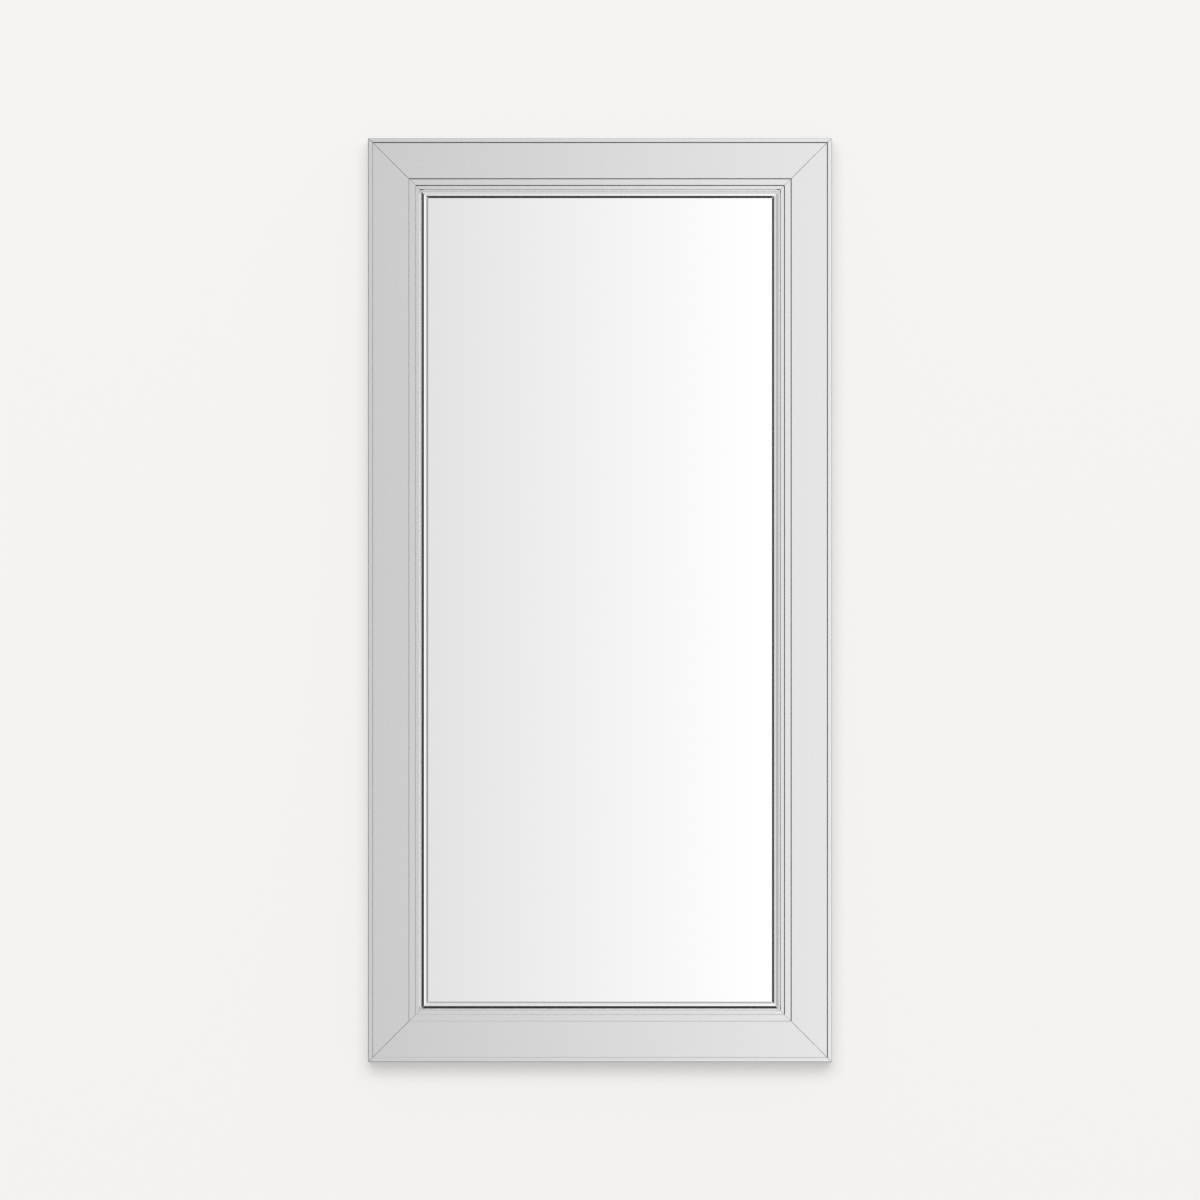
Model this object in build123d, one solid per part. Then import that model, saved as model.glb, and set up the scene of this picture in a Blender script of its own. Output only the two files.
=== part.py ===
from build123d import *
import os

# A full-length mirror in a stepped, mitred metal frame, hung on a wall cleat.
# Millimetres. +Z is up, the wall is the plane y = 0 and the mirror faces -Y.
# The origin is the middle of the wall cleat's screw line, on the wall.
# A frame member's own axis u runs inwards from the frame's outer edge.

# Overall size
FRAME_HEIGHT = 1524.0
FRAME_WIDTH = 765.0
FRAME_TOP = 52.0
MIDDLE_Z = FRAME_TOP - FRAME_HEIGHT / 2

# Depths, measured from the wall: the more negative, the nearer the viewer
RIM_Y = -42.0
FACE_Y = -40.5
STEP_1_Y = -39.0
STEP_2_Y = -37.5
STEP_3_Y = -35.9
LIP_REAR_Y = -28.6
SKIN_Y = -18.0
BOX_REAR_Y = -2.0

# Where each riser of the stepped moulding stands, from the outer edge
RIM_U = 7.5
RISER_1_U = 67.2
RISER_2_U = 78.2
RISER_3_U = 84.9
LIP_U = 87.3
RISER_RUN = 1.7
EDGE_BREAK = 0.8

# The extrusion behind the moulding: a deep outer box and a shallow inner one
BOX_U = 25.0
REBATE_U = 80.0
WALL = 2.0
WEB_U = 66.0
MITRE_GAP = 0.7

# Polished inner bead, its crest tipped slightly towards the glass
BEAD_FOOT_U = 87.9
BEAD_CREST_U = 92.2
BEAD_FALL_U = 95.2
BEAD_EDGE_U = 98.0
BEAD_SHOULDER_Y = -35.5
BEAD_CREST_Y = -38.1
BEAD_FALL_Y = -37.9
BEAD_INNER_Y = -35.2
BEAD_FLANGE = 1.0
BEAD_FLANGE_U = 82.0

# Black glazing tape between the bead and the glass
TAPE = 1.0
TAPE_START_U = 82.5
TAPE_EDGE_U = 98.6

# Glass and what lies behind it
GLASS = 5.0
GLASS_EDGE_U = 83.0
FILM = 0.2
BACKING = 3.2
BACKING_EDGE_U = 81.5
BLOCK_LENGTH = 40.0
GLASS_FRONT_Y = LIP_REAR_Y + BEAD_FLANGE + TAPE
GLASS_REAR_Y = GLASS_FRONT_Y + GLASS
FILM_REAR_Y = GLASS_REAR_Y + FILM

# Corner keys, fixed through the back of the frame
KEY_OUTER_U = 26.0
KEY_INNER_U = 65.0
KEY_ARM = 110.0
KEY_THICK = 10.0
KEY_GAP = 0.2
KEY_SCREW_U = 46.0
KEY_SCREW_AT = (78.0, 100.0)

# Screws
SCREW_HOLE = 2.0
SHANK = 1.95
SUNK_HEAD = 4.0
PAN_HEAD = 3.8
PAN_HEIGHT = 2.4
RECESS_LENGTH = 3.6
RECESS_WIDTH = 0.9
RECESS_DEPTH = 1.2

# Turn buttons that hold the backing board in
BUTTON_U = 72.0
BUTTON_REACH = 20.0
BUTTON_TAIL = 6.5
BUTTON_WIDTH = 12.0
BUTTON_THICK = 1.2
BUTTON_BORE = 2.06
BUTTONS_LONG = (-460.0, 0.0, 460.0)
BUTTONS_SHORT = (-150.0, 150.0)

# The two halves of the hanging cleat
CLEAT_LENGTH = 480.0
CLEAT = 3.0
SCREW_SPACING = 406.4
WALL_SCREW_HOLE = 2.75
WALL_CLEAT_FOOT_Z = -14.0
WALL_CLEAT_WEB_Z = 10.0
TONGUE_TOP_Z = 18.0
TONGUE_FRONT_Y = -12.0
HOOK_REAR_Y = -5.7
HOOK_FOOT_Z = 11.0
FRAME_CLEAT_FOOT_Z = 5.0
FRAME_CLEAT_TOP_Z = 25.0
CLEAT_SCREW_Z = 11.5
CLEAT_SCREW_AT = (-200.0, -70.0, 70.0, 200.0)

# Soft pads that stand the frame off the wall
PAD_RADIUS = 9.0
PAD_U = 12.5
PAD_FROM_END = 60.0

# Each member: its outer length, its distance from the frame's middle, its turn about Y
MEMBERS = {
    "top": (FRAME_WIDTH, FRAME_HEIGHT / 2, 0),
    "right": (FRAME_HEIGHT, FRAME_WIDTH / 2, 90),
    "bottom": (FRAME_WIDTH, FRAME_HEIGHT / 2, 180),
    "left": (FRAME_HEIGHT, FRAME_WIDTH / 2, -90),
}
RAIL_NAMES = {
    "top": "top_rail",
    "right": "right_stile",
    "bottom": "bottom_rail",
    "left": "left_stile",
}


def place(shape, side):
    """Carry a member drawn under its outer edge at z = 0 to its side of the frame."""
    _, distance, turn = MEMBERS[side]
    return Pos(0, 0, MIDDLE_Z) * Rot(0, turn, 0) * Pos(0, 0, distance) * shape


def rod(x, z, front_y, rear_y, radius):
    """A round bar along Y."""
    middle = Pos(x, (front_y + rear_y) / 2, z)
    return middle * Rot(90, 0, 0) * Cylinder(radius, rear_y - front_y)


def taper(x, z, front_y, rear_y, front_radius, rear_radius):
    """A cone frustum along Y."""
    middle = Pos(x, (front_y + rear_y) / 2, z)
    return middle * Rot(-90, 0, 0) * Cone(front_radius, rear_radius, rear_y - front_y)


def block(low, high):
    """A box from its lowest to its highest corner."""
    size = [b - a for a, b in zip(low, high)]
    middle = [(a + b) / 2 for a, b in zip(low, high)]
    return Pos(*middle) * Box(*size)


def bar(section, length):
    """Extrude a section, drawn in u and y, along the whole member."""
    start = Plane(origin=(-length / 2, 0, 0), x_dir=(0, 0, -1), z_dir=(1, 0, 0))
    return extrude(start * section, amount=length, dir=(1, 0, 0))


def mitre(shape, length):
    """Cut both ends of a member at 45 degrees, each back by half of the joint's gap."""
    half = length / 2 - MITRE_GAP / 2 * 2**0.5
    reach = 120.0
    outline = Polygon((-half, 0), (half, 0), (half - reach, -reach), (reach - half, -reach), align=None)
    front = Plane(origin=(0, 0, 0), x_dir=(1, 0, 0), z_dir=(0, -1, 0))
    return shape & extrude(front * outline, amount=60.0, dir=(0, -1, 0))


def mitred_bar(section, side):
    """One member of a four-sided mitred frame, at its side."""
    length = MEMBERS[side][0]
    return place(mitre(bar(section, length), length), side)


def rectangle(u_start, u_end, y_front, y_rear):
    """A rectangle in a member's section."""
    corners = (u_start, y_front), (u_end, y_front), (u_end, y_rear), (u_start, y_rear)
    return Polygon(*corners, align=None)


def rail_section():
    """The stepped moulding with its three hollow chambers."""
    half_run = RISER_RUN / 2
    outline = Polygon(
        (0, BOX_REAR_Y),
        (0, RIM_Y + EDGE_BREAK),
        (EDGE_BREAK, RIM_Y),
        (RIM_U - half_run, RIM_Y),
        (RIM_U + half_run, FACE_Y),
        (RISER_1_U - half_run, FACE_Y),
        (RISER_1_U + half_run, STEP_1_Y),
        (RISER_2_U - half_run, STEP_1_Y),
        (RISER_2_U + half_run, STEP_2_Y),
        (RISER_3_U - half_run, STEP_2_Y),
        (RISER_3_U + half_run, STEP_3_Y),
        (LIP_U, STEP_3_Y),
        (LIP_U, LIP_REAR_Y),
        (REBATE_U, LIP_REAR_Y),
        (REBATE_U, SKIN_Y),
        (BOX_U, SKIN_Y),
        (BOX_U, BOX_REAR_Y),
        align=None,
    )
    deep = rectangle(WALL, BOX_U - WALL, FACE_Y + WALL, BOX_REAR_Y - WALL)
    shallow = rectangle(BOX_U, WEB_U, FACE_Y + WALL, SKIN_Y - WALL)
    small = rectangle(WEB_U + WALL, REBATE_U - WALL, STEP_1_Y + WALL, SKIN_Y - WALL)
    return outline - deep - shallow - small


def bead_section():
    """A raised bead with two steep sides, on a thin flange that lies behind the lip."""
    flange_rear = LIP_REAR_Y + BEAD_FLANGE
    return Polygon(
        (BEAD_FLANGE_U, flange_rear),
        (BEAD_FLANGE_U, LIP_REAR_Y),
        (BEAD_FOOT_U, LIP_REAR_Y),
        (BEAD_FOOT_U, BEAD_SHOULDER_Y),
        (BEAD_CREST_U, BEAD_CREST_Y),
        (BEAD_FALL_U, BEAD_FALL_Y),
        (BEAD_EDGE_U, BEAD_INNER_Y),
        (BEAD_EDGE_U, flange_rear),
        align=None,
    )


def cross_recess(x, z, rear_y):
    """The cross slot in a screw's head."""
    tall = block(
        (x - RECESS_WIDTH / 2, rear_y - RECESS_DEPTH, z - RECESS_LENGTH / 2),
        (x + RECESS_WIDTH / 2, rear_y, z + RECESS_LENGTH / 2),
    )
    wide = block(
        (x - RECESS_LENGTH / 2, rear_y - RECESS_DEPTH, z - RECESS_WIDTH / 2),
        (x + RECESS_LENGTH / 2, rear_y, z + RECESS_WIDTH / 2),
    )
    return tall + wide


def sunk_screw(x, z, rear_y, length):
    """A countersunk screw whose head lies flush with rear_y."""
    head = taper(x, z, rear_y - WALL, rear_y, SHANK, SUNK_HEAD)
    shank = rod(x, z, rear_y - length, rear_y - WALL, SHANK)
    return head + shank - cross_recess(x, z, rear_y)


def sunk_hole(x, z, rear_y, depth):
    """The hole that a countersunk screw sits in."""
    play = SCREW_HOLE - SHANK
    cone = taper(x, z, rear_y - WALL, rear_y, SCREW_HOLE, SUNK_HEAD + play)
    return cone + rod(x, z, rear_y - depth, rear_y - WALL, SCREW_HOLE)


def pan_screw(x, z, seat_y, length):
    """A pan-head screw whose head's underside is at seat_y."""
    head = rod(x, z, seat_y, seat_y + PAN_HEIGHT, PAN_HEAD)
    rim = head.edges().filter_by(GeomType.CIRCLE).sort_by(Axis.Y)[-1]
    head = fillet(rim, radius=1.2)
    shank = rod(x, z, seat_y - length, seat_y, SHANK)
    return head + shank - cross_recess(x, z, seat_y + PAN_HEIGHT)


def button_places(side):
    """Where the turn buttons stand along one member."""
    return BUTTONS_LONG if side in ("left", "right") else BUTTONS_SHORT


def key_screw_places(side):
    """Where the corner key screws stand along one member, as x and z below its edge."""
    half = MEMBERS[side][0] / 2
    return [(sign * (half - at), -KEY_SCREW_U) for sign in (-1, 1) for at in KEY_SCREW_AT]


def rail(side):
    """One frame member with the holes in its back."""
    length = MEMBERS[side][0]
    body = mitre(bar(rail_section(), length), length)
    for x in button_places(side):
        body -= rod(x, -BUTTON_U, SKIN_Y - WALL, SKIN_Y, SCREW_HOLE)
    for x, z in key_screw_places(side):
        body -= sunk_hole(x, z, SKIN_Y, WALL + 0.1)
    if side == "top":
        for x in CLEAT_SCREW_AT:
            body -= rod(x, CLEAT_SCREW_Z - FRAME_TOP, SKIN_Y - WALL, SKIN_Y, SCREW_HOLE)
    return place(body, side)


def corner_key(right, top):
    """An L-shaped key whose arms fill the inner chambers of two members."""
    rear_y = SKIN_Y - WALL - KEY_GAP
    front_y = rear_y - KEY_THICK
    across = block((KEY_OUTER_U, front_y, -KEY_INNER_U), (KEY_ARM, rear_y, -KEY_OUTER_U))
    down = block((KEY_OUTER_U, front_y, -KEY_ARM), (KEY_INNER_U, rear_y, -KEY_OUTER_U))
    key = across + down
    key = chamfer(key.edges().filter_by(Axis.Y), length=1.5)
    pocket_start = KEY_OUTER_U + KEY_THICK
    pocket_end = KEY_INNER_U - KEY_THICK
    pocket_rear = front_y + KEY_THICK / 2
    key -= block((pocket_start, front_y, -pocket_end), (pocket_end, pocket_rear, -pocket_start))
    for at in KEY_SCREW_AT:
        key -= rod(at, -KEY_SCREW_U, front_y, rear_y, SCREW_HOLE)
        key -= rod(KEY_SCREW_U, -at, front_y, rear_y, SCREW_HOLE)
    if right:
        key = mirror(key, about=Plane.YZ)
    if not top:
        key = mirror(key, about=Plane.XY)
    x = FRAME_WIDTH / 2 if right else -FRAME_WIDTH / 2
    z = MIDDLE_Z + (FRAME_HEIGHT / 2 if top else -FRAME_HEIGHT / 2)
    return Pos(x, 0, z) * key


def corner_key_screws():
    """Sixteen countersunk screws, four to a key."""
    screws = []
    for side in MEMBERS:
        for x, z in key_screw_places(side):
            screws.append(place(sunk_screw(x, z, SKIN_Y, WALL + KEY_THICK), side))
    return screws


def sheet(edge_u, front_y, rear_y):
    """A flat sheet whose edges are edge_u inside the frame's outer edges."""
    half_width = FRAME_WIDTH / 2 - edge_u
    half_height = FRAME_HEIGHT / 2 - edge_u
    return block(
        (-half_width, front_y, MIDDLE_Z - half_height),
        (half_width, rear_y, MIDDLE_Z + half_height),
    )


def edge_block(side, x):
    """A rubber block between the glass edge and the rebate."""
    piece = block(
        (x - BLOCK_LENGTH / 2, GLASS_FRONT_Y, -GLASS_EDGE_U),
        (x + BLOCK_LENGTH / 2, GLASS_REAR_Y, -REBATE_U),
    )
    return place(piece, side)


def turn_button(side, x):
    """A flat turn button on its pivot, pointing over the backing board."""
    rear_y = SKIN_Y + BUTTON_THICK
    radius = BUTTON_WIDTH / 2
    pivot_z = -BUTTON_U
    tail_z = pivot_z + BUTTON_TAIL - radius
    tip_z = pivot_z - BUTTON_REACH + radius
    plate = block((x - radius, SKIN_Y, tip_z), (x + radius, rear_y, tail_z))
    plate += rod(x, tip_z, SKIN_Y, rear_y, radius)
    plate += rod(x, tail_z, SKIN_Y, rear_y, radius)
    plate -= rod(x, pivot_z, SKIN_Y, rear_y, BUTTON_BORE)
    finger_rib = block((x - 3.5, rear_y, tip_z - 1.0), (x + 3.5, rear_y + 0.8, tip_z + 1.0))
    return place(plate + finger_rib, side)


def turn_button_screws():
    """One pan-head pivot screw for each turn button."""
    screws = []
    for side in MEMBERS:
        for x in button_places(side):
            screws.append(place(pan_screw(x, -BUTTON_U, SKIN_Y + BUTTON_THICK, 8.0), side))
    return screws


def frame_cleat():
    """A Z-section cleat on the back of the top rail, hooked over the wall cleat."""
    half = CLEAT_LENGTH / 2
    flange_rear = SKIN_Y + CLEAT
    cleat = block((-half, SKIN_Y, FRAME_CLEAT_FOOT_Z), (half, flange_rear, FRAME_CLEAT_TOP_Z))
    cleat += block((-half, flange_rear, TONGUE_TOP_Z), (half, HOOK_REAR_Y, TONGUE_TOP_Z + CLEAT))
    cleat += block((-half, HOOK_REAR_Y - CLEAT, HOOK_FOOT_Z), (half, HOOK_REAR_Y, TONGUE_TOP_Z))
    for x in CLEAT_SCREW_AT:
        cleat -= sunk_hole(x, CLEAT_SCREW_Z, flange_rear, CLEAT)
    return cleat


def frame_cleat_screws():
    """The screws that hold the frame cleat to the top rail."""
    return [sunk_screw(x, CLEAT_SCREW_Z, SKIN_Y + CLEAT, 12.0) for x in CLEAT_SCREW_AT]


def wall_cleat():
    """A Z-section cleat, screwed to the wall, whose tongue carries the frame."""
    half = CLEAT_LENGTH / 2
    web_foot = WALL_CLEAT_WEB_Z - CLEAT
    cleat = block((-half, -CLEAT, WALL_CLEAT_FOOT_Z), (half, 0, WALL_CLEAT_WEB_Z))
    cleat += block((-half, TONGUE_FRONT_Y, web_foot), (half, -CLEAT, WALL_CLEAT_WEB_Z))
    cleat += block(
        (-half, TONGUE_FRONT_Y, WALL_CLEAT_WEB_Z),
        (half, TONGUE_FRONT_Y + CLEAT, TONGUE_TOP_Z),
    )
    for x in (-SCREW_SPACING / 2, SCREW_SPACING / 2):
        cleat -= rod(x, 0, -CLEAT, 0, WALL_SCREW_HOLE)
    return cleat


def wall_pad(side, end):
    """A felt disc on the back of a stile, near one end."""
    x = end * (FRAME_HEIGHT / 2 - PAD_FROM_END)
    return place(rod(x, -PAD_U, BOX_REAR_Y, 0, PAD_RADIUS), side)


def save(name, shapes):
    """Write one node, of one or more separate solids."""
    solids = shapes if isinstance(shapes, list) else [shapes]
    flat = [solid for shape in solids for solid in shape.solids()]
    export_step(flat[0] if len(flat) == 1 else Compound(children=flat), f"parts/{name}.step")


os.makedirs("parts", exist_ok=True)

for side, name in RAIL_NAMES.items():
    save(name, rail(side))

for side in MEMBERS:
    save(f"bead_{side}", mitred_bar(bead_section(), side))
    tape = rectangle(TAPE_START_U, TAPE_EDGE_U, LIP_REAR_Y + BEAD_FLANGE, GLASS_FRONT_Y)
    save(f"glazing_tape_{side}", mitred_bar(tape, side))

for top in (True, False):
    for right in (False, True):
        corner = ("top" if top else "bottom") + ("_right" if right else "_left")
        save(f"corner_key_{corner}", corner_key(right, top))
save("corner_key_screws", corner_key_screws())

save("mirror_glass", sheet(GLASS_EDGE_U, GLASS_FRONT_Y, GLASS_REAR_Y))
save("safety_film", sheet(GLASS_EDGE_U, GLASS_REAR_Y, FILM_REAR_Y))
save("backing_board", sheet(BACKING_EDGE_U, FILM_REAR_Y, FILM_REAR_Y + BACKING))
save("setting_blocks", [edge_block("bottom", x) for x in BUTTONS_SHORT])
spacers = [edge_block("top", x) for x in BUTTONS_SHORT]
for side in ("left", "right"):
    spacers += [edge_block(side, x) for x in (BUTTONS_LONG[0], BUTTONS_LONG[-1])]
save("edge_spacers", spacers)

for side in MEMBERS:
    for number, x in enumerate(button_places(side), start=1):
        save(f"turn_button_{side}_{number}", turn_button(side, x))
save("turn_button_screws", turn_button_screws())

save("frame_cleat", frame_cleat())
save("frame_cleat_screws", frame_cleat_screws())
save("wall_cleat", wall_cleat())
for side in ("left", "right"):
    for end, level in ((-1, "low"), (1, "high")):
        save(f"wall_pad_{side}_{level}", wall_pad(side, end if side == "left" else -end))
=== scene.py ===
import math

import bpy
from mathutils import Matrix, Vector


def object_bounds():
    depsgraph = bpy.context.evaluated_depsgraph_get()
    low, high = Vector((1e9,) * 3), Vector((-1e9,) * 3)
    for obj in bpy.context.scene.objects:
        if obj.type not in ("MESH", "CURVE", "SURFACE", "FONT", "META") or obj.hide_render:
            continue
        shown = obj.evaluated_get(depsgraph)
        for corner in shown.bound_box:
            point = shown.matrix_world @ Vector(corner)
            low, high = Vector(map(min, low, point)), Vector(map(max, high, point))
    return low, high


# A tall framed mirror on a pale wall. Metres, in the CAD frame: the wall is the
# plane y = 0, the mirror faces -Y and +Z is up.

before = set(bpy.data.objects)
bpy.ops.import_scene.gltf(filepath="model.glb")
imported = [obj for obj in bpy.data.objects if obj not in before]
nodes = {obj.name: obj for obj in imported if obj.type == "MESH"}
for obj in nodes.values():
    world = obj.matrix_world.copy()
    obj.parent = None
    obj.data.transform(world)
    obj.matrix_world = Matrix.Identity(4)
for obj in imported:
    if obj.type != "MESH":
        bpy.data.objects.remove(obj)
cad_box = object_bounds()

low, high = cad_box
MIDDLE = (low + high) / 2
HEIGHT = high.z - low.z
FRONT_Y = low.y

# Axis numbers, for the way that a metal is brushed
X, Z = 0, 2

# Camera: straight on, far enough away that the frame's sides don't show
CAMERA_DISTANCE = 16.0
VIEW_SIZE = HEIGHT * 1.2986
SENSOR = 36.0

# Wall and floor
PALE = (0.913, 0.896, 0.880, 1.0)
WALL_Y = 0.0006
WALL_SIZE = (9.0, 6.0)
WALL_GLOW = 0.58
FLOOR_DROP = 0.35
FLOOR_SIZE = 60.0
FLOOR_GLOW = 0.60

# Reflector cards: glow at the middle, and how much it grows per metre to the right,
# as far as the reach on either side
CARD_Y = -6.6
CARD_SIZE = (19.0, 19.0)
CARD_GLOW = 0.925
CARD_SLOPE = 0.322
BACK_CARD_Y = 5.0
BACK_CARD_SIZE = (8.0, 8.0)
BACK_CARD_GLOW = 0.62
BACK_CARD_SLOPE = 0.1
CARD_REACH = 1.2

# Lights
KEY_DISTANCE = 40.0
KEY_HALF_WIDTH = math.radians(27)
KEY_HALF_HEIGHT = math.radians(19)
KEY_RISE = math.radians(25)
KEY_POWER = 7296.0
FILL_OFFSET = (1.2, 4.0, 1.8)
FILL_SIZE = 3.0
FILL_POWER = 110.0

# World: its glow in reflections runs from dark to bright along a direction
BRIGHT_WAY = (0.45, 0.0, 0.893)
WORLD_DARK_AT, WORLD_BRIGHT_AT = -0.45, 0.893
WORLD_DARK, WORLD_BRIGHT = 0.04, 0.95
WORLD_FLAT = 0.055
WORLD_BACKDROP = 0.98

# Metals: brightness and roughness
FRAME_LEVEL, FRAME_ROUGH = 0.748, 0.27
BEAD_LEVEL, BEAD_ROUGH = 0.93, 0.12
MILL_LEVEL, MILL_ROUGH, MILL_GRAIN = 0.66, 0.42, 0.3


# ---------------------------------------------------------------- node helpers

def empty_material(name):
    """A node material with only its output."""
    material = bpy.data.materials.new(name)
    material.use_nodes = True
    tree = material.node_tree
    tree.nodes.clear()
    output = tree.nodes.new("ShaderNodeOutputMaterial")
    return material, tree, output


def new_material(name):
    """A node material with its shader linked to its output."""
    material, tree, output = empty_material(name)
    shader = tree.nodes.new("ShaderNodeBsdfPrincipled")
    tree.links.new(shader.outputs["BSDF"], output.inputs["Surface"])
    return material, tree, shader


def stretched_noise(tree, scale, detail=3.0, roughness=0.6):
    """Noise on the object's own coordinates, stretched by a scale for each axis."""
    place = tree.nodes.new("ShaderNodeTexCoord")
    mapping = tree.nodes.new("ShaderNodeMapping")
    mapping.inputs["Scale"].default_value = scale
    noise = tree.nodes.new("ShaderNodeTexNoise")
    noise.inputs["Scale"].default_value = 1.0
    noise.inputs["Detail"].default_value = detail
    noise.inputs["Roughness"].default_value = roughness
    tree.links.new(place.outputs["Object"], mapping.inputs["Vector"])
    tree.links.new(mapping.outputs["Vector"], noise.inputs["Vector"])
    return noise.outputs["Fac"]


def remap(tree, value, low_out, high_out, low_in=0.3, high_in=0.7):
    """Spread a value between two limits, and hold it there beyond them."""
    node = tree.nodes.new("ShaderNodeMapRange")
    node.inputs["From Min"].default_value = low_in
    node.inputs["From Max"].default_value = high_in
    node.inputs["To Min"].default_value = low_out
    node.inputs["To Max"].default_value = high_out
    tree.links.new(value, node.inputs["Value"])
    return node.outputs["Result"]


def ramp(tree, value, stops):
    """Colours along a value, each stop being its place and its colour."""
    node = tree.nodes.new("ShaderNodeValToRGB")
    band = node.color_ramp
    while len(band.elements) < len(stops):
        band.elements.new(0.5)
    for element, (place, colour) in zip(band.elements, stops):
        element.position = place
        element.color = (*colour, 1.0)
    tree.links.new(value, node.inputs["Fac"])
    return node.outputs["Color"]


def bump(tree, shader, height, strength, distance):
    """Turn a height into surface relief on the shader."""
    node = tree.nodes.new("ShaderNodeBump")
    node.inputs["Strength"].default_value = strength
    node.inputs["Distance"].default_value = distance
    tree.links.new(height, node.inputs["Height"])
    tree.links.new(node.outputs["Normal"], shader.inputs["Normal"])


def add(tree, first, second, share):
    """First plus share times second."""
    node = tree.nodes.new("ShaderNodeMath")
    node.operation = "MULTIPLY_ADD"
    tree.links.new(second, node.inputs[0])
    node.inputs[1].default_value = share
    tree.links.new(first, node.inputs[2])
    return node.outputs["Value"]


def grey(level):
    """A neutral colour."""
    return (level, level, level)


# ---------------------------------------------------------------- materials

def brushed_metal(name, along, level, rough, grain=0.02):
    """Satin anodised aluminium, brushed along one axis."""
    material, tree, shader = new_material(name)
    fine = [1600.0] * 3
    fine[along] = 14.0
    broad = [70.0] * 3
    broad[along] = 1.6
    lines = stretched_noise(tree, fine, detail=4.0, roughness=0.7)
    clouds = stretched_noise(tree, broad, detail=2.0)
    mixed = add(tree, lines, clouds, 0.5)
    shader.inputs["Metallic"].default_value = 1.0
    tone = ramp(tree, mixed, [(0.45, grey(level * 0.99)), (1.05, grey(level * 1.005))])
    tree.links.new(tone, shader.inputs["Base Color"])
    gloss = remap(tree, mixed, rough - 0.01, rough + 0.015, 0.45, 1.05)
    tree.links.new(gloss, shader.inputs["Roughness"])
    bump(tree, shader, lines, grain, 0.00002)
    return material


def polished_metal(name, along, level, rough):
    """Bright drawn metal with faint die lines."""
    material, tree, shader = new_material(name)
    fine = [900.0] * 3
    fine[along] = 5.0
    lines = stretched_noise(tree, fine)
    shader.inputs["Metallic"].default_value = 1.0
    tone = ramp(tree, lines, [(0.3, grey(level * 0.985)), (0.7, grey(level))])
    tree.links.new(tone, shader.inputs["Base Color"])
    tree.links.new(remap(tree, lines, rough * 0.8, rough * 1.3), shader.inputs["Roughness"])
    bump(tree, shader, lines, 0.08, 0.00002)
    return material


def mirror_silver():
    """Silvered float glass, with the faintest roll wave and a trace of dust."""
    material, tree, shader = new_material("mirror_glass")
    dust = stretched_noise(tree, (600.0, 600.0, 600.0), detail=5.0, roughness=0.75)
    wave = stretched_noise(tree, (1.5, 1.5, 0.6), detail=1.0)
    shader.inputs["Metallic"].default_value = 1.0
    tone = ramp(tree, dust, [(0.35, (0.952, 0.956, 0.954)), (0.65, (0.958, 0.962, 0.960))])
    tree.links.new(tone, shader.inputs["Base Color"])
    tree.links.new(remap(tree, dust, 0.004, 0.016, 0.45, 0.8), shader.inputs["Roughness"])
    bump(tree, shader, wave, 0.05, 0.0001)
    return material


def black_rubber(name, level, rough, pore):
    """Matte black elastomer with a fine pored skin."""
    material, tree, shader = new_material(name)
    pores = stretched_noise(tree, (pore,) * 3, detail=4.0)
    tone = ramp(tree, pores, [(0.3, grey(level * 0.7)), (0.7, grey(level * 1.4))])
    tree.links.new(tone, shader.inputs["Base Color"])
    tree.links.new(remap(tree, pores, rough - 0.08, rough + 0.1), shader.inputs["Roughness"])
    shader.inputs["Specular IOR Level"].default_value = 0.25
    bump(tree, shader, pores, 0.4, 0.00008)
    return material


def zinc_steel(name):
    """Bright zinc plating: a cool spangle, patchy gloss and a slight warm tint in places."""
    material, tree, shader = new_material(name)
    spangle = stretched_noise(tree, (900.0,) * 3, detail=4.0)
    patches = stretched_noise(tree, (120.0,) * 3, detail=2.0)
    mixed = add(tree, spangle, patches, 0.6)
    shader.inputs["Metallic"].default_value = 1.0
    tone = ramp(tree, mixed, [
        (0.5, (0.56, 0.57, 0.60)),
        (0.8, (0.70, 0.71, 0.72)),
        (1.0, (0.72, 0.69, 0.62)),
    ])
    tree.links.new(tone, shader.inputs["Base Color"])
    tree.links.new(remap(tree, mixed, 0.26, 0.42, 0.5, 1.05), shader.inputs["Roughness"])
    bump(tree, shader, spangle, 0.25, 0.00005)
    return material


def hardboard():
    """Brown pressed fibreboard, smooth side out, with flecks of darker fibre."""
    material, tree, shader = new_material("hardboard")
    fibre = stretched_noise(tree, (420.0, 420.0, 260.0), detail=8.0, roughness=0.75)
    clouds = stretched_noise(tree, (5.0, 5.0, 3.0), detail=3.0)
    mixed = add(tree, fibre, clouds, 0.6)
    tone = ramp(tree, mixed, [
        (0.48, (0.105, 0.052, 0.026)),
        (0.72, (0.225, 0.120, 0.062)),
        (1.00, (0.330, 0.190, 0.105)),
    ])
    tree.links.new(tone, shader.inputs["Base Color"])
    tree.links.new(remap(tree, fibre, 0.42, 0.62), shader.inputs["Roughness"])
    bump(tree, shader, fibre, 0.35, 0.0002)
    return material


def felt():
    """Grey needled felt."""
    material, tree, shader = new_material("felt")
    fuzz = stretched_noise(tree, (1500.0,) * 3, detail=8.0, roughness=0.8)
    tone = ramp(tree, fuzz, [(0.3, grey(0.05)), (0.7, grey(0.16))])
    tree.links.new(tone, shader.inputs["Base Color"])
    shader.inputs["Roughness"].default_value = 0.95
    shader.inputs["Sheen Weight"].default_value = 0.4
    bump(tree, shader, fuzz, 0.8, 0.0004)
    return material


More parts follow.
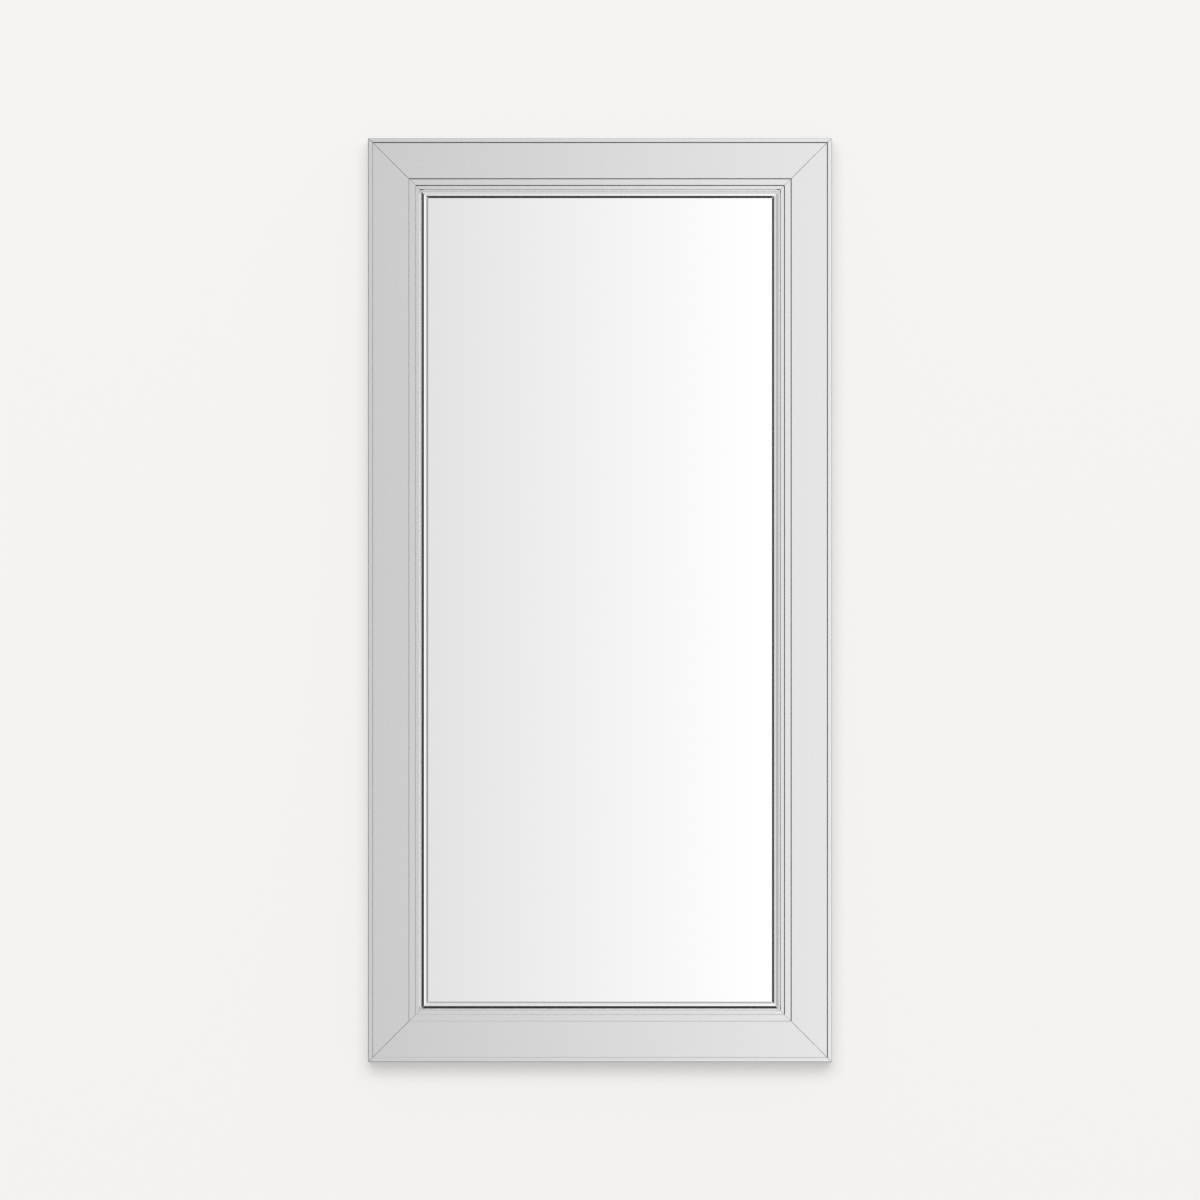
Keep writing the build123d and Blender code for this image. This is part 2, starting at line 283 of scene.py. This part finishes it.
def cast_metal():
    """Die-cast key: dull grey, slightly pitted."""
    material, tree, shader = new_material("cast_key")
    pits = stretched_noise(tree, (380.0,) * 3, detail=6.0)
    shader.inputs["Metallic"].default_value = 1.0
    tone = ramp(tree, pits, [(0.3, grey(0.36)), (0.7, grey(0.52))])
    tree.links.new(tone, shader.inputs["Base Color"])
    tree.links.new(remap(tree, pits, 0.45, 0.65), shader.inputs["Roughness"])
    bump(tree, shader, pits, 0.5, 0.0002)
    return material


def safety_film():
    """Thin milky film."""
    material, tree, shader = new_material("film")
    haze = stretched_noise(tree, (30.0,) * 3)
    tone = ramp(tree, haze, [(0.3, grey(0.62)), (0.7, grey(0.72))])
    tree.links.new(tone, shader.inputs["Base Color"])
    tree.links.new(remap(tree, haze, 0.3, 0.45), shader.inputs["Roughness"])
    return material


def dress(node_names, material):
    """Give CAD nodes a material."""
    for name in node_names:
        slots = nodes[name].data.materials
        slots.clear()
        slots.append(material)


def named(start):
    """The CAD nodes whose names start this way."""
    return sorted(name for name in nodes if name.startswith(start))


dress(["top_rail", "bottom_rail"], brushed_metal("frame_rail", X, FRAME_LEVEL, FRAME_ROUGH))
dress(["left_stile", "right_stile"], brushed_metal("frame_stile", Z, FRAME_LEVEL, FRAME_ROUGH))
dress(["bead_top", "bead_bottom"], polished_metal("bead_rail", X, BEAD_LEVEL, BEAD_ROUGH))
dress(["bead_left", "bead_right"], polished_metal("bead_stile", Z, BEAD_LEVEL, BEAD_ROUGH))
dress(named("glazing_tape"), black_rubber("tape", 0.012, 0.75, 1400.0))
dress(["setting_blocks", "edge_spacers"], black_rubber("block", 0.03, 0.6, 700.0))
dress(["mirror_glass"], mirror_silver())
dress(["safety_film"], safety_film())
dress(["backing_board"], hardboard())
dress(named("turn_button") + ["frame_cleat_screws", "corner_key_screws"], zinc_steel("zinc"))
dress([name for name in named("corner_key") if not name.endswith("screws")], cast_metal())
mill_finish = brushed_metal("mill_finish", X, MILL_LEVEL, MILL_ROUGH, MILL_GRAIN)
dress(["frame_cleat", "wall_cleat"], mill_finish)
dress(named("wall_pad"), felt())


# ---------------------------------------------------------------- the set

def plane(name, corners):
    """A flat quadrilateral, part of the set."""
    mesh = bpy.data.meshes.new(name)
    mesh.from_pydata([tuple(c) for c in corners], [], [(0, 1, 2, 3)])
    thing = bpy.data.objects.new(name, mesh)
    bpy.context.scene.collection.objects.link(thing)
    return thing


def upright_plane(name, y, size, middle_z):
    """A plane facing -Y."""
    x, z = size[0] / 2, size[1] / 2
    bottom, top = middle_z - z, middle_z + z
    return plane(name, [(-x, y, bottom), (x, y, bottom), (x, y, top), (-x, y, top)])


def level_plane(name, size, z):
    """A square plane facing up."""
    reach = size / 2
    return plane(name, [(-reach, -reach, z), (reach, -reach, z), (reach, reach, z), (-reach, reach, z)])


def backdrop_material(name, glow):
    """Matte paint that takes soft shadows, and can't be seen from behind."""
    material, tree, output = empty_material(name)
    paint = tree.nodes.new("ShaderNodeBsdfDiffuse")
    paint.inputs["Color"].default_value = PALE
    light = tree.nodes.new("ShaderNodeEmission")
    light.inputs["Color"].default_value = PALE
    light.inputs["Strength"].default_value = glow
    both = tree.nodes.new("ShaderNodeAddShader")
    clear = tree.nodes.new("ShaderNodeBsdfTransparent")
    side = tree.nodes.new("ShaderNodeNewGeometry")
    choose = tree.nodes.new("ShaderNodeMixShader")
    tree.links.new(paint.outputs["BSDF"], both.inputs[0])
    tree.links.new(light.outputs["Emission"], both.inputs[1])
    tree.links.new(side.outputs["Backfacing"], choose.inputs["Fac"])
    tree.links.new(both.outputs["Shader"], choose.inputs[1])
    tree.links.new(clear.outputs["BSDF"], choose.inputs[2])
    tree.links.new(choose.outputs["Shader"], output.inputs["Surface"])
    return material


def card_material(name, middle_glow, slope):
    """A lit card, brighter towards +X, and dark to light that has bounced off a matte surface."""
    material, tree, output = empty_material(name)
    light = tree.nodes.new("ShaderNodeEmission")
    dark = tree.nodes.new("ShaderNodeEmission")
    dark.inputs["Strength"].default_value = 0.0
    place = tree.nodes.new("ShaderNodeTexCoord")
    split = tree.nodes.new("ShaderNodeSeparateXYZ")
    path = tree.nodes.new("ShaderNodeLightPath")
    choose = tree.nodes.new("ShaderNodeMixShader")
    tree.links.new(place.outputs["Object"], split.inputs["Vector"])
    rise = CARD_REACH * slope
    dimmest, brightest = middle_glow - rise, middle_glow + rise
    strength = remap(tree, split.outputs["X"], dimmest, brightest, -CARD_REACH, CARD_REACH)
    tree.links.new(strength, light.inputs["Strength"])
    tree.links.new(path.outputs["Diffuse Depth"], choose.inputs["Fac"])
    tree.links.new(light.outputs["Emission"], choose.inputs[1])
    tree.links.new(dark.outputs["Emission"], choose.inputs[2])
    tree.links.new(choose.outputs["Shader"], output.inputs["Surface"])
    return material


def only_camera(thing):
    """Seen by the camera alone, so that it lights and blocks nothing."""
    thing.visible_diffuse = False
    thing.visible_glossy = False
    thing.visible_transmission = False
    thing.visible_shadow = False


def only_reflections(thing):
    """Seen in metal and glass alone."""
    thing.visible_camera = False
    thing.visible_diffuse = False
    thing.visible_transmission = False
    thing.visible_shadow = False


wall = upright_plane("wall", WALL_Y, WALL_SIZE, MIDDLE.z)
wall.data.materials.append(backdrop_material("wall_paint", WALL_GLOW))
only_camera(wall)

floor = level_plane("floor", FLOOR_SIZE, low.z - FLOOR_DROP)
floor.data.materials.append(backdrop_material("floor_paint", FLOOR_GLOW))
only_camera(floor)

card = upright_plane("reflector_card", CARD_Y, CARD_SIZE, MIDDLE.z)
card.data.materials.append(card_material("card_glow", CARD_GLOW, CARD_SLOPE))
only_reflections(card)

back_card = upright_plane("back_card", BACK_CARD_Y, BACK_CARD_SIZE, MIDDLE.z)
back_card.data.materials.append(card_material("back_card_glow", BACK_CARD_GLOW, BACK_CARD_SLOPE))
only_reflections(back_card)


def area_light(name, place, target, width, height, power):
    """A soft oval light that doesn't show in reflections."""
    lamp = bpy.data.lights.new(name, "AREA")
    lamp.shape = "ELLIPSE"
    lamp.size = width
    lamp.size_y = height
    lamp.energy = power
    thing = bpy.data.objects.new(name, lamp)
    thing.location = place
    thing.rotation_euler = (target - place).to_track_quat("-Z", "Y").to_euler()
    thing.visible_glossy = False
    thing.visible_camera = False
    bpy.context.scene.collection.objects.link(thing)


key_way = Vector((0.0, -math.cos(KEY_RISE), math.sin(KEY_RISE)))
key_place = MIDDLE + key_way * KEY_DISTANCE
key_width = 2 * KEY_DISTANCE * math.tan(KEY_HALF_WIDTH)
key_height = 2 * KEY_DISTANCE * math.tan(KEY_HALF_HEIGHT)
area_light("key", key_place, MIDDLE, key_width, key_height, KEY_POWER)
fill_place = MIDDLE + Vector(FILL_OFFSET)
area_light("back_fill", fill_place, MIDDLE, FILL_SIZE, FILL_SIZE, FILL_POWER)


def studio_world():
    """In reflections, bright above and to the right and darker below and to the left.

    Matte surfaces get a dim even light from it, and the camera sees it as pale.
    """
    world = bpy.data.worlds.new("studio")
    bpy.context.scene.world = world
    world.use_nodes = True
    tree = world.node_tree
    tree.nodes.clear()
    output = tree.nodes.new("ShaderNodeOutputWorld")
    sky = tree.nodes.new("ShaderNodeBackground")
    flat = tree.nodes.new("ShaderNodeBackground")
    flat.inputs["Strength"].default_value = WORLD_FLAT
    place = tree.nodes.new("ShaderNodeTexCoord")
    dot = tree.nodes.new("ShaderNodeVectorMath")
    dot.operation = "DOT_PRODUCT"
    dot.inputs[1].default_value = BRIGHT_WAY
    seen = tree.nodes.new("ShaderNodeBackground")
    seen.inputs["Color"].default_value = PALE
    seen.inputs["Strength"].default_value = WORLD_BACKDROP
    path = tree.nodes.new("ShaderNodeLightPath")
    choose = tree.nodes.new("ShaderNodeMixShader")
    show = tree.nodes.new("ShaderNodeMixShader")
    tree.links.new(place.outputs["Generated"], dot.inputs[0])
    along = dot.outputs["Value"]
    glow = remap(tree, along, WORLD_DARK, WORLD_BRIGHT, WORLD_DARK_AT, WORLD_BRIGHT_AT)
    tree.links.new(glow, sky.inputs["Strength"])
    tree.links.new(path.outputs["Diffuse Depth"], choose.inputs["Fac"])
    tree.links.new(sky.outputs["Background"], choose.inputs[1])
    tree.links.new(flat.outputs["Background"], choose.inputs[2])
    tree.links.new(path.outputs["Is Camera Ray"], show.inputs["Fac"])
    tree.links.new(choose.outputs["Shader"], show.inputs[1])
    tree.links.new(seen.outputs["Background"], show.inputs[2])
    tree.links.new(show.outputs["Shader"], output.inputs["Surface"])


studio_world()

lens = bpy.data.cameras.new("camera")
lens.sensor_width = SENSOR
lens.lens = SENSOR * CAMERA_DISTANCE / VIEW_SIZE
camera = bpy.data.objects.new("camera", lens)
camera.location = (MIDDLE.x, FRONT_Y - CAMERA_DISTANCE, MIDDLE.z)
camera.rotation_euler = (math.radians(90), 0, 0)
bpy.context.scene.collection.objects.link(camera)
bpy.context.scene.camera = camera
bpy.context.scene.view_settings.view_transform = "Standard"
